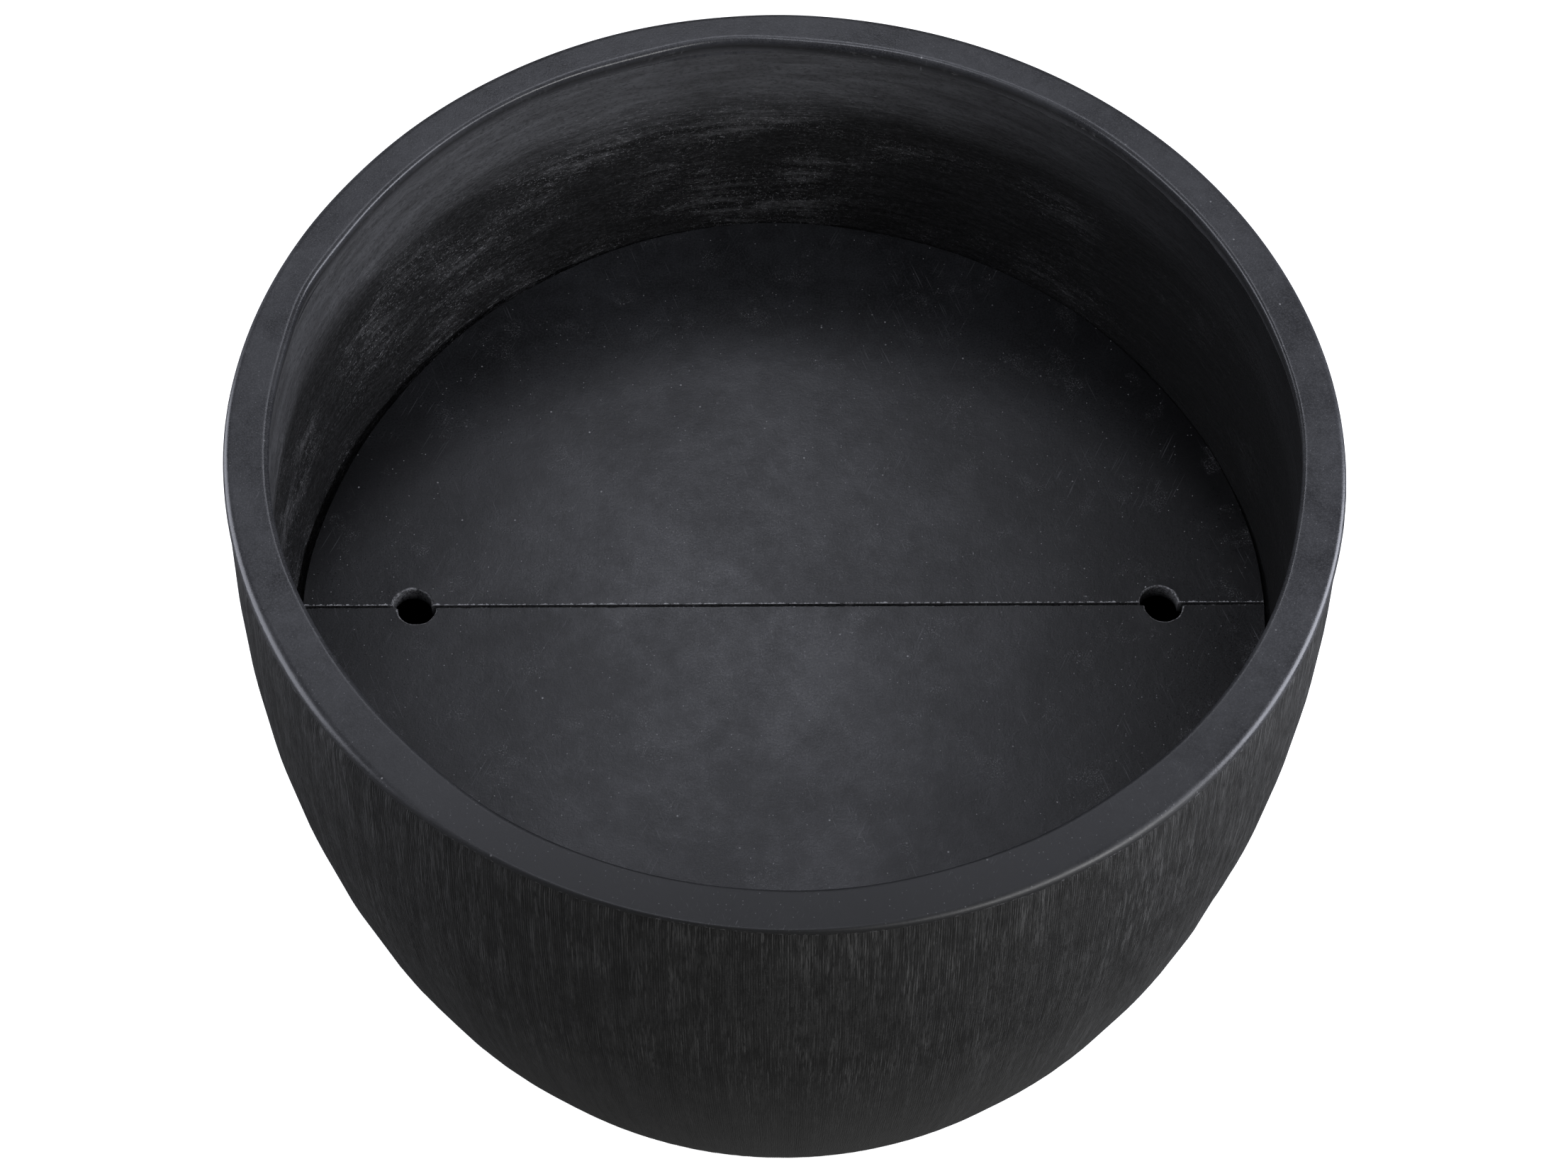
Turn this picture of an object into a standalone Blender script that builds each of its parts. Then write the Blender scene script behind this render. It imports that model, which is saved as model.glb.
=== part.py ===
"""A round planter bowl with a smooth rim and a false bottom in two liftable half discs.

Metres, +Z up. The origin is the middle of the underside, where the bowl stands. The seam between the
two shelf plates runs along X, and the front of the bowl faces -Y.
"""

import math

import bmesh
import bpy
from mathutils import Matrix

# Driving dimensions of the bowl.
HEIGHT = 0.490
RIM_RADIUS = 0.345
RIM_WIDTH = 0.026
RIM_HEIGHT = 0.014
WALL = 0.0235
BASE_THICKNESS = 0.028
GAP = 0.0003  # between pieces that touch

# The outside swells a little below the rim, then curves in like a superellipse.
WIDEST_RADIUS = RIM_RADIUS * 1.0097
WIDEST_DEPTH = RIM_RADIUS * 0.278
CURVE_DEPTH = RIM_RADIUS * 1.528  # from the widest point to where the curve would close
CURVE_POWER = 2.7
OUTER_CORNER = 0.085  # radius between the side and the underside
INNER_CORNER = 0.070

# The underside stands on a flat ring round a shallow recess with the drain hole in its middle.
RECESS_RADIUS = 0.170
RECESS_DEPTH = 0.003
RECESS_SLOPE = 0.006
DRAIN_RADIUS = 0.0127

# Edge radii of the rim.
RIM_OUTER_ROUND = 0.0044
RIM_INNER_ROUND = 0.0018

# The shelf.
SHELF_DEPTH = RIM_RADIUS * 0.554  # top of the plates below the rim
PLATE_RADIUS = RIM_RADIUS * 0.914
PLATE_THICKNESS = 0.012
PLATE_EDGE_ROUND = 0.0008
SEAM_WIDTH = 0.0012
SEAM_TURN = math.radians(0.9)  # the plates don't lie quite square in the bowl
SHELF_CENTRE = (0.0017, -0.0014)
FINGER_RADIUS = 0.0125
FINGER_REACH = PLATE_RADIUS * 0.78  # from the middle of the seam to each finger hole
FRONT_FINGER_SHIFT = 0.003

# Blocks that hold the shelf, bonded to the wall. Below half its height a block tapers to a thin foot.
CLEAT_COUNT = 6
CLEAT_WIDTH = 0.070
CLEAT_HEIGHT = 0.036
CLEAT_REACH = 0.026  # from the wall inwards at the top
CLEAT_FOOT_REACH = 0.009
CLEAT_EDGE_ROUND = 0.002
CLEAT_BED = 0.001  # adhesive between a cleat and the wall

# Drain plug: a tapered shank, a flange on the floor of the bowl and a round knob on a neck to pull.
PLUG_TOP_RADIUS = DRAIN_RADIUS - GAP
PLUG_TAPER = 0.0012
PLUG_SHORT_OF_RECESS = 0.002
PLUG_FLANGE_RADIUS = 0.020
PLUG_FLANGE_THICKNESS = 0.004
PLUG_FLANGE_CHAMFER = 0.001
PLUG_KNOB_RADIUS = 0.008
PLUG_KNOB_HEIGHT = 0.016
PLUG_NECK_RADIUS = 0.005

# How finely round shapes are divided.
TURN_STEPS = 60  # a multiple of twice the cleats, so that each one meets the same flats of the wall
PLUG_STEPS = 24
SIDE_STEPS = 11
CORNER_STEPS = 6
NOTCH_STEPS = 10
CLEAT_BACK_STEPS = 4

MERGE_DISTANCE = 0.00005


def outer_radius(depth):
    """Radius of the outside at a depth below the rim."""
    if depth < WIDEST_DEPTH:
        share = 1 - depth / WIDEST_DEPTH
        return WIDEST_RADIUS - (WIDEST_RADIUS - RIM_RADIUS) * share**2
    fall = (depth - WIDEST_DEPTH) / CURVE_DEPTH
    return WIDEST_RADIUS * (1 - fall**2) ** (1 / CURVE_POWER)


def side_slope(depth):
    """Angle of the side from the vertical, positive where it runs inwards going down."""
    step = 1e-4
    return math.atan((outer_radius(depth - step) - outer_radius(depth + step)) / (2 * step))


def corner_start(bottom_depth, corner):
    """Depth at which an arc of radius corner leaves the side to meet the bottom level."""
    low, high = WIDEST_DEPTH, bottom_depth
    for _ in range(40):
        middle = (low + high) / 2
        if middle + corner * (1 - math.sin(side_slope(middle))) < bottom_depth:
            low = middle
        else:
            high = middle
    return low


def arc(centre, size, start, end, steps):
    """(radius, z) along an arc, with angles from straight outwards towards straight up."""
    points = []
    for i in range(steps + 1):
        angle = start + (end - start) * i / steps
        points.append((centre[0] + size * math.cos(angle), centre[1] + size * math.sin(angle)))
    return points


def side_profile(top_depth, bottom_depth, corner, inset):
    """(radius, z) down one side of the shell and round its lower corner. inset is 0 for the outside."""
    last = corner_start(bottom_depth, corner)
    points = []
    for i in range(SIDE_STEPS):
        depth = top_depth + (last - top_depth) * i / SIDE_STEPS
        points.append((outer_radius(depth) - inset, HEIGHT - depth))
    slope = side_slope(last)
    centre_radius = outer_radius(last) - inset - corner * math.cos(slope)
    centre = (centre_radius, HEIGHT - bottom_depth + corner)
    return points + arc(centre, corner, -slope, -math.pi / 2, CORNER_STEPS)


def clear_scene():
    for old in list(bpy.data.objects):
        bpy.data.objects.remove(old)


def new_collection(name):
    made = bpy.data.collections.new(name)
    bpy.context.scene.collection.children.link(made)
    return made


def material(name, colour, roughness):
    made = bpy.data.materials.new(name)
    made.use_nodes = True
    shader = made.node_tree.nodes["Principled BSDF"]
    shader.inputs["Base Color"].default_value = (*colour, 1)
    shader.inputs["Roughness"].default_value = roughness
    shader.inputs["Metallic"].default_value = 0
    return made


def add_object(name, mesh, collection, look):
    made = bpy.data.objects.new(name, mesh)
    collection.objects.link(made)
    if not mesh.materials:
        mesh.materials.append(look)
    mesh.shade_smooth()
    mesh.set_sharp_from_angle(angle=math.radians(30))
    return made


def add_turn(target, steps):
    screw = target.modifiers.new("turn", "SCREW")
    screw.steps = steps
    screw.render_steps = steps
    screw.use_merge_vertices = True
    screw.merge_threshold = MERGE_DISTANCE


def add_eased_edges(target, width, from_angle):
    bevel = target.modifiers.new("eased edges", "BEVEL")
    bevel.width = width
    bevel.segments = 1
    bevel.limit_method = "ANGLE"
    bevel.angle_limit = math.radians(from_angle)


def turned(name, profile, collection, look, steps=TURN_STEPS):
    """A solid of revolution from a (radius, z) outline that runs down its outer side.

    An outline that starts and ends on the axis stays open there, and any other is closed.
    """
    on_axis = profile[0][0] == 0
    count = len(profile)
    lines = [(i, (i + 1) % count) for i in range(count - 1 if on_axis else count)]
    mesh = bpy.data.meshes.new(name)
    mesh.from_pydata([(radius, 0, z) for radius, z in profile], lines, [])
    made = add_object(name, mesh, collection, look)
    add_turn(made, steps)
    return made


def make_shell(collection, look):
    top = RIM_HEIGHT + GAP
    underside = [
        (RECESS_RADIUS, 0),
        (RECESS_RADIUS - RECESS_SLOPE, RECESS_DEPTH),
        (DRAIN_RADIUS, RECESS_DEPTH),
        (DRAIN_RADIUS, BASE_THICKNESS),
    ]
    outside = side_profile(top, HEIGHT, OUTER_CORNER, 0)
    inside = side_profile(top, HEIGHT - BASE_THICKNESS, INNER_CORNER, WALL)
    turned("bowl_shell", outside + underside + inside[::-1], collection, look)


def make_rim(collection, look):
    inner = RIM_RADIUS - RIM_WIDTH
    bottom = HEIGHT - RIM_HEIGHT
    inner_centre = (inner + RIM_INNER_ROUND, HEIGHT - RIM_INNER_ROUND)
    outer_centre = (RIM_RADIUS - RIM_OUTER_ROUND, HEIGHT - RIM_OUTER_ROUND)
    profile = arc(inner_centre, RIM_INNER_ROUND, math.pi, math.pi / 2, 2)
    profile += arc(outer_centre, RIM_OUTER_ROUND, math.pi / 2, 0, 4)
    profile += [(outer_radius(RIM_HEIGHT), bottom), (inner, bottom)]
    turned("rim_cap", profile, collection, look)


def half_disc_outline(side, notches):
    """(x, y) round a half disc with half-round notches in its straight edge.

    side is 1 for the half on the +Y side and -1 for the other. notches are the notches' x, rising.
    """
    edge = side * SEAM_WIDTH / 2
    cut_away = math.asin(SEAM_WIDTH / 2 / PLATE_RADIUS)
    steps = TURN_STEPS // 2
    outline = []
    for i in range(steps + 1):
        angle = cut_away + (math.pi - 2 * cut_away) * i / steps
        outline.append((PLATE_RADIUS * math.cos(angle), side * PLATE_RADIUS * math.sin(angle)))
    for x in notches:
        for i in range(NOTCH_STEPS + 1):
            angle = math.pi * (1 - i / NOTCH_STEPS)
            y = edge + side * FINGER_RADIUS * math.sin(angle)
            outline.append((x + FINGER_RADIUS * math.cos(angle), y))
    return outline


def make_plate(name, side, notch_shift, collection, look):
    """One shelf plate. Its origin is in the middle of the shelf's top, on its lifting line."""
    notches = (notch_shift - FINGER_REACH, notch_shift + FINGER_REACH)
    plate = bmesh.new()
    corners = [plate.verts.new((x, y, 0)) for x, y in half_disc_outline(side, notches)]
    extruded = bmesh.ops.extrude_face_region(plate, geom=[plate.faces.new(corners)])
    lower = [part for part in extruded["geom"] if isinstance(part, bmesh.types.BMVert)]
    bmesh.ops.translate(plate, verts=lower, vec=(0, 0, -PLATE_THICKNESS))
    bmesh.ops.recalc_face_normals(plate, faces=plate.faces)
    mesh = bpy.data.meshes.new(name)
    plate.to_mesh(mesh)
    plate.free()
    made = add_object(name, mesh, collection, look)
    made.location = (*SHELF_CENTRE, HEIGHT - SHELF_DEPTH)
    made.rotation_euler.z = SEAM_TURN
    add_eased_edges(made, PLATE_EDGE_ROUND, 60)


def cleat_ring(top, cutters, look):
    """A ring with a cleat's section: its back follows the wall, and its lower half tapers."""
    back = []
    for i in range(CLEAT_BACK_STEPS + 1):
        z = top - CLEAT_HEIGHT * i / CLEAT_BACK_STEPS
        back.append((outer_radius(HEIGHT - z) - WALL - CLEAT_BED, z))
    face = back[0][0] - CLEAT_REACH
    foot = (back[-1][0] - CLEAT_FOOT_REACH, top - CLEAT_HEIGHT)
    profile = [*back, foot, (face, top - CLEAT_HEIGHT / 2), (face, top)]
    return turned("cleat ring", profile, cutters, look)


def cleat_length_box(ring_radius, top, cutters, look):
    """The box that cuts one cleat out of the ring, at angle 0."""
    middle = Matrix.Translation((ring_radius, 0, top))
    size = Matrix.Diagonal((4 * CLEAT_REACH, CLEAT_WIDTH, 4 * CLEAT_HEIGHT, 1))
    box = bmesh.new()
    bmesh.ops.create_cube(box, size=1, matrix=middle @ size)
    mesh = bpy.data.meshes.new("cleat length")
    box.to_mesh(mesh)
    box.free()
    return add_object("cleat length", mesh, cutters, look)


def cleat_mesh(cutters, look):
    top = HEIGHT - SHELF_DEPTH - PLATE_THICKNESS - GAP
    ring = cleat_ring(top, cutters, look)
    box = cleat_length_box(outer_radius(HEIGHT - top) - WALL, top, cutters, look)
    cut = ring.modifiers.new("cut to length", "BOOLEAN")
    cut.operation = "INTERSECT"
    cut.solver = "EXACT"
    cut.object = box
    add_eased_edges(ring, CLEAT_EDGE_ROUND, 50)
    for helper in (ring, box):
        helper.hide_render = True
        helper.display_type = "WIRE"
    graph = bpy.context.evaluated_depsgraph_get()
    return bpy.data.meshes.new_from_object(ring.evaluated_get(graph))


def make_cleats(collection, cutters, look):
    mesh = cleat_mesh(cutters, look)
    for i in range(CLEAT_COUNT):
        cleat = add_object(f"shelf_cleat_{i + 1}", mesh, collection, look)
        cleat.rotation_euler.z = 2 * math.pi * i / CLEAT_COUNT


def make_plug(collection, look):
    """The drain plug. Its origin is in the middle of the drain hole, at the floor of the bowl."""
    flange_top = GAP + PLUG_FLANGE_THICKNESS
    knob_top = flange_top + PLUG_KNOB_HEIGHT
    shank_bottom = RECESS_DEPTH + PLUG_SHORT_OF_RECESS - BASE_THICKNESS
    neck_angle = -math.acos(PLUG_NECK_RADIUS / PLUG_KNOB_RADIUS)
    knob_centre = (0, knob_top - PLUG_KNOB_RADIUS)
    knob = arc(knob_centre, PLUG_KNOB_RADIUS, math.radians(80), neck_angle, 6)
    profile = [
        (0, knob_top),
        *knob,
        (PLUG_NECK_RADIUS, flange_top),
        (PLUG_FLANGE_RADIUS - PLUG_FLANGE_CHAMFER, flange_top),
        (PLUG_FLANGE_RADIUS, flange_top - PLUG_FLANGE_CHAMFER),
        (PLUG_FLANGE_RADIUS, GAP),
        (PLUG_TOP_RADIUS, GAP),
        (PLUG_TOP_RADIUS - PLUG_TAPER, shank_bottom),
        (0, shank_bottom),
    ]
    plug = turned("drain_plug", profile, collection, look, PLUG_STEPS)
    plug.location.z = BASE_THICKNESS


def main():
    clear_scene()
    planter = new_collection("planter_bowl")
    cutters = new_collection("cutters")
    shell_look = material("brushed charcoal composite", (0.020, 0.020, 0.022), 0.62)
    rim_look = material("smooth charcoal composite", (0.034, 0.035, 0.039), 0.42)
    plate_look = material("charcoal composite board", (0.026, 0.027, 0.030), 0.48)
    cleat_look = material("rough charcoal composite", (0.018, 0.018, 0.019), 0.75)
    rubber = material("black rubber", (0.010, 0.010, 0.010), 0.60)
    make_shell(planter, shell_look)
    make_rim(planter, rim_look)
    make_plate("rear_shelf_plate", 1, 0, planter, plate_look)
    make_plate("front_shelf_plate", -1, FRONT_FINGER_SHIFT, planter, plate_look)
    make_cleats(planter, cutters, cleat_look)
    make_plug(planter, rubber)


main()
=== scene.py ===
"""The looks of a round planter bowl: brushed wall, smooth rim, two loose shelf plates, cleats and plug.

Metres, +Z up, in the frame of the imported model. Angles run counter-clockwise from +X, and the front of
the bowl faces -Y. A place round the bowl is a turn, from 0 to 1.
"""

import math

import bpy
import numpy as np
from mathutils import Matrix, Vector
from mathutils.geometry import delaunay_2d_cdt


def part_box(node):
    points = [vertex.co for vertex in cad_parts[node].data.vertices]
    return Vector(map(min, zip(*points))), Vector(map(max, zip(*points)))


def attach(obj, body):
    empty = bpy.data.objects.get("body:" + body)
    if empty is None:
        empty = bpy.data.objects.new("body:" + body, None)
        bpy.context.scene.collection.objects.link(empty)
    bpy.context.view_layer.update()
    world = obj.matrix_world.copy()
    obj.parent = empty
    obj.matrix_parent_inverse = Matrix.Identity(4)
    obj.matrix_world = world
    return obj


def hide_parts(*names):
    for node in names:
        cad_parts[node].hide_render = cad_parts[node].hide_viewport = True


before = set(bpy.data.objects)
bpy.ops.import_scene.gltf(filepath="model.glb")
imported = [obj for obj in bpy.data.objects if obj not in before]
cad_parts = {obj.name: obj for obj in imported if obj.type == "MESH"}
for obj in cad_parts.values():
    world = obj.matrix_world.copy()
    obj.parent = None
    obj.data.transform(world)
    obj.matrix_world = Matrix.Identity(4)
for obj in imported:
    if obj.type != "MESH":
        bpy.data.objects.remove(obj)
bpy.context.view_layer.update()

SEED = 7

# Sizes of the frame's pieces.
SHELL_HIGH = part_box("bowl_shell")[1]
RIM_LOW, RIM_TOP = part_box("rim_cap")
PLATE_LOW, PLATE_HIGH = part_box("rear_shelf_plate")
PLUG_LOW, PLUG_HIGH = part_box("drain_plug")
HEIGHT = RIM_TOP.z
RIM_BOTTOM = RIM_LOW.z
SHELL_TOP = SHELL_HIGH.z
WIDEST_RADIUS = SHELL_HIGH.x
RIM_RADIUS = WIDEST_RADIUS / 1.0097

# The outside swells a little below the rim, then curves in like a superellipse.
WIDEST_DEPTH = RIM_RADIUS * 0.278
CURVE_DEPTH = RIM_RADIUS * 1.528
CURVE_POWER = 2.7
OUTER_CORNER = 0.085
INNER_CORNER = 0.070
OVALITY = 0.0056  # the rim is this much tighter on one diagonal than on the other
OVAL_DEPTH = 0.20  # below the rim, where the body has become round

WALL = 0.0235
BASE_THICKNESS = 0.028
RECESS_RADIUS = 0.170
RECESS_SLOPE = 0.006
RECESS_DEPTH = 0.003
DRAIN_RADIUS = 0.0127

# The face coat is the brushed outer layer of the wall, and the laminate is the rest of it.
COAT = 0.003
COAT_TOP = HEIGHT - 0.0045
GROOVES = 1440  # round the bowl, 1.5 mm apart
GROOVE_SHAPE = (1.0, 0.25, 0.15)  # depth across one groove, with a column of points for each
GROOVE_DEPTH = 0.00045
COAT_STEP = 0.0010  # the coat lies this far behind the rim's side
DENTS = 46
DENT_DEPTH = 0.0012
LAMINATE_COLUMNS = 1080
LAYER_GAP = 0.0001
DRAIN_EDGE = 0.001  # chamfer at each end of the drain hole
FLOOR_RINGS = (0.05, 0.09, 0.14, 0.19)  # radii of the rows of points on the floor
FLAT_FLOOR_RADIUS = 0.03  # the floor is flat inside this, under the plug
PUDDLE_DEPTH = 0.0006
BOARD_CLEARANCE = 0.0004  # least gap between the shelf boards and the wall
BESIDE_BOARDS = 0.005  # the wall keeps clear this far above and below the boards too

# The rim is laid by hand, so its edges wander: (degrees, width in degrees, millimetres outwards).
RIM_WIDTH = 0.026
RIM_COLUMNS = 1440
RIM_OUTER_ROUND = 0.0042
RIM_INNER_ROUND = 0.0030
OUTER_EDGE_BUMPS = ((178, 20, 2.2), (305, 50, 2.0), (0, 20, 0.8), (108, 10, 0.7))
OUTER_ROUND_BUMPS = ((207, 22, 2.0), (318, 28, 1.8), (85, 30, -0.6), (262, 26, -2.6))
INNER_EDGE_BUMPS = (
    (98, 8, 4.2), (122, 16, 1.8), (160, 6, 2.8), (55, 12, 1.4),
    (5, 10, 1.2), (218, 20, -5.4), (305, 28, -2.8), (350, 8, -0.8),
)
RIM_BAND = 0.0026  # least height of the smooth band on the outside
RIM_LAP = 0.0008  # thickness of the ragged lap over the coat
BAND_RAG = 0.0020  # how far the band's lower edge hangs at most
BAND_ROUND = 0.0005
LIP_WIDTH = 0.0045  # how far the rim stands inwards of the wall
LIP_LEAN = 0.0018  # how far the inner lip leans back at its lower edge
LIP_RAG = 0.0026  # how far the lip's lower edge hangs at most
LIP_ROUND = 0.0011
LIP_SHADE_END = 0.009  # depth at which the painted shade on the inside of the lip gives way to the pale lap
RIPPLE = 0.0002  # small unevenness of the rim's edges and sides

# The shelf.
SHELF_TOP = PLATE_HIGH.z
PLATE_THICKNESS = PLATE_HIGH.z - PLATE_LOW.z
PLATE_RADIUS = RIM_RADIUS * 0.914
SHELF_CENTRE = Vector((0.0017, -0.0014, 0))
SEAM_TURN = math.radians(0.9)
SEAM_WIDTH = 0.0012
SEAM_WEAR = 0.0004  # how far each board's straight edge has worn back
FINGER_RADIUS = 0.0125
FINGER_REACH = PLATE_RADIUS * 0.78
FRONT_FINGER_SHIFT = 0.003
BOARD_EDGE = 0.0006  # chamfer of a board's lower edge
BOARD_UNEVENNESS = 0.00012
BOARD_POINT_SPACING = 0.007

# The boards are cut by hand, and the wall beside them is laid by hand: (degrees, width, millimetres).
PLATE_BUMPS = (
    (34, 16, -3.4), (97, 22, 5.2), (150, 14, -2.2), (182, 13, 3.2), (222, 24, -4.4), (285, 28, -1.2),
)
WALL_BUMPS = ((27, 16, 6.2), (53, 17, 5.6), (95, 14, 0.8), (146, 17, 3.6), (183, 9, -2.0), (118, 12, 1.0))

# The studio. The camera's values put the rim, the shelf and the foot where the photo has them.
DAYLIGHT = (0.955, 0.98, 1.10)
NEUTRAL = (1, 1, 1)
FLOOR_SIZE = 8.0
FLOOR_LEVEL = -0.0004  # a little under the foot, so that the two never share a plane
CAMERA_ELEVATION = math.radians(56.872)
CAMERA_ROLL = math.radians(0.523)
CAMERA_LENS = 89.56
CAMERA_DISTANCE = RIM_RADIUS * 7.4047
CAMERA_AIM = Vector((0.0003, 0, HEIGHT - RIM_RADIUS * 0.5008))


# ------------------------------ fields of unevenness


def ease(share):
    """A smooth step from 0 to 1 as share runs from 0 to 1."""
    share = np.clip(share, 0, 1)
    return share * share * (3 - 2 * share)


def ring_noise(random, turn, along, cells, rows):
    """Smooth noise from -1 to 1. turn wraps round the bowl, and along runs from 0 to 1."""
    lattice = random.uniform(-1, 1, (cells, rows + 1))
    column = np.mod(turn, 1) * cells
    row = np.clip(along, 0, 1) * rows
    column_low = np.minimum(np.floor(column).astype(int), cells - 1)
    row_low = np.minimum(np.floor(row).astype(int), rows - 1)
    across = ease(column - column_low)
    down = ease(row - row_low)
    next_column = (column_low + 1) % cells
    upper = lattice[column_low, row_low] * (1 - across) + lattice[next_column, row_low] * across
    lower = lattice[column_low, row_low + 1] * (1 - across) + lattice[next_column, row_low + 1] * across
    return upper * (1 - down) + lower * down


def ring_wobble(random, turn, cells):
    """Smooth noise from -1 to 1 round the bowl only."""
    return ring_noise(random, turn, np.zeros_like(turn), cells, 1)


def bumps(turn, places):
    """The sum in metres of bell-shaped bumps, each given as (degrees, width in degrees, millimetres)."""
    total = np.zeros_like(turn)
    for degrees, width, amount in places:
        away = (turn * 360 - degrees + 180) % 360 - 180
        total += 0.001 * amount * np.exp(-((away / width) ** 2))
    return total


# ------------------------------ outlines of the bowl


def outer_radius(depth):
    """Radius of the outside at a depth below the rim."""
    depth = np.asarray(depth, float)
    share = 1 - depth / WIDEST_DEPTH
    above = WIDEST_RADIUS - (WIDEST_RADIUS - RIM_RADIUS) * share**2
    fall = np.clip((depth - WIDEST_DEPTH) / CURVE_DEPTH, 0, 0.999)
    below = WIDEST_RADIUS * (1 - fall**2) ** (1 / CURVE_POWER)
    return np.where(depth < WIDEST_DEPTH, above, below)


def side_slope(depth):
    """Angle of the side from the vertical, positive where it runs inwards going down."""
    step = 1e-4
    return math.atan((outer_radius(depth - step) - outer_radius(depth + step)) / (2 * step))


def corner_start(bottom_depth, corner):
    """Depth at which an arc of radius corner leaves the side to meet the bottom level."""
    low, high = WIDEST_DEPTH, bottom_depth
    for _ in range(40):
        middle = (low + high) / 2
        if middle + corner * (1 - math.sin(side_slope(middle))) < bottom_depth:
            low = middle
        else:
            high = middle
    return low


def side_profile(depths, bottom_depth, corner, inset, corner_steps):
    """(radius, z) at the given depths, then round the lower corner. inset is 0 for the outside."""
    last = corner_start(bottom_depth, corner)
    points = [(float(outer_radius(d)) - inset, HEIGHT - d) for d in depths if d < last]
    slope = side_slope(last)
    centre = float(outer_radius(last)) - inset - corner * math.cos(slope)
    for i in range(corner_steps + 1):
        angle = -slope + (slope - math.pi / 2) * i / corner_steps
        rise = corner * (1 + math.sin(angle))
        points.append((centre + corner * math.cos(angle), HEIGHT - bottom_depth + rise))
    return points


def oval(turn, depth):
    """Factor on the radius that makes the rim slightly oval and leaves the lower body round."""
    fade = 1 - ease(np.asarray(depth) / OVAL_DEPTH)
    return 1 - OVALITY * fade * np.sin(4 * math.pi * turn)


# ------------------------------ meshes


def add_object(name, mesh, *looks):
    for look in looks:
        mesh.materials.append(look)
    made = bpy.data.objects.new(name, mesh)
    bpy.context.scene.collection.objects.link(made)
    return made


def smooth_mesh(name, points, faces, sharp_degrees=50):
    mesh = bpy.data.meshes.new(name)
    mesh.from_pydata(points, [], faces)
    mesh.update()
    mesh.shade_smooth()
    mesh.set_sharp_from_angle(angle=math.radians(sharp_degrees))
    return mesh


def ring_faces(rows, columns):
    """Quads that join each row of points to the next and the last to the first, facing outwards."""
    row, column = np.meshgrid(np.arange(rows), np.arange(columns), indexing="ij")
    below, right = (row + 1) % rows, (column + 1) % columns
    upper, lower = row * columns, below * columns
    corners = [upper + column, lower + column, lower + right, upper + right]
    return np.stack([c.ravel() for c in corners], 1)


def turned_mesh(name, radius, height, sharp_degrees=50, drift=0.0):
    """A closed ring from arrays of radius and height, with a row for each point of the outline.

    drift is how far each point strays round the bowl, in radians.
    """
    rows, columns = radius.shape
    angle = np.arange(columns) / columns * 2 * math.pi + drift
    points = np.stack([radius * np.cos(angle), radius * np.sin(angle), height], -1).reshape(-1, 3)
    return smooth_mesh(name, points.tolist(), ring_faces(rows, columns).tolist(), sharp_degrees)


def set_weights(mesh, name, values):
    """A number for each point, which a material reads by its name."""
    mesh.attributes.new(name, "FLOAT", "POINT").data.foreach_set("value", values.astype(np.float32).ravel())


def spread(outline, columns):
    """An outline's radius and z as arrays with a column for each place round the bowl, and the turns."""
    profile = np.array(outline)
    turn = np.broadcast_to(np.arange(columns) / columns, (len(outline), columns))
    return profile[:, :1] + 0 * turn, profile[:, 1:] + 0 * turn, turn


# ------------------------------ face coat


def layer_joint(top_depths, inset):
    """(radius, z) down the joint between the coat and the laminate, coarse because it is hidden."""
    depths = [*top_depths, (HEIGHT - SHELL_TOP + corner_start(HEIGHT, OUTER_CORNER)) / 2]
    return side_profile(depths, HEIGHT - inset, OUTER_CORNER - inset, inset, 1)


def brushed_relief(random, turn, share):
    """How deep the brush has cut at each column of points, from 0 on a ridge to 1 in a groove."""
    columns = turn.shape[1]
    shape = np.tile(GROOVE_SHAPE, columns // len(GROOVE_SHAPE))
    weight = 0.55 + 0.45 * ring_noise(random, turn, share, GROOVES // 2, 7)
    merged = 0.5 + 0.5 * ring_noise(random, turn, share, GROOVES // 4, 5)
    return np.clip(shape * weight + 0.35 * merged, 0, 1)


def coat_dents(random, turn, depth):
    """Shallow dents and drags that the trowel left in the coat."""
    total = np.zeros_like(turn)
    for _ in range(DENTS):
        centre = random.uniform(0, 1)
        level = random.uniform(0.05, 0.40)
        width, height = random.uniform(0.006, 0.020), random.uniform(0.025, 0.050)
        across = ((turn - centre + 0.5) % 1 - 0.5) * 2 * math.pi * WIDEST_RADIUS
        away = (across / width) ** 2 + ((depth - level) / height) ** 2
        total += random.uniform(0.2, 0.8) * np.exp(-away)
    return DENT_DEPTH * np.minimum(total, 1)


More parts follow.
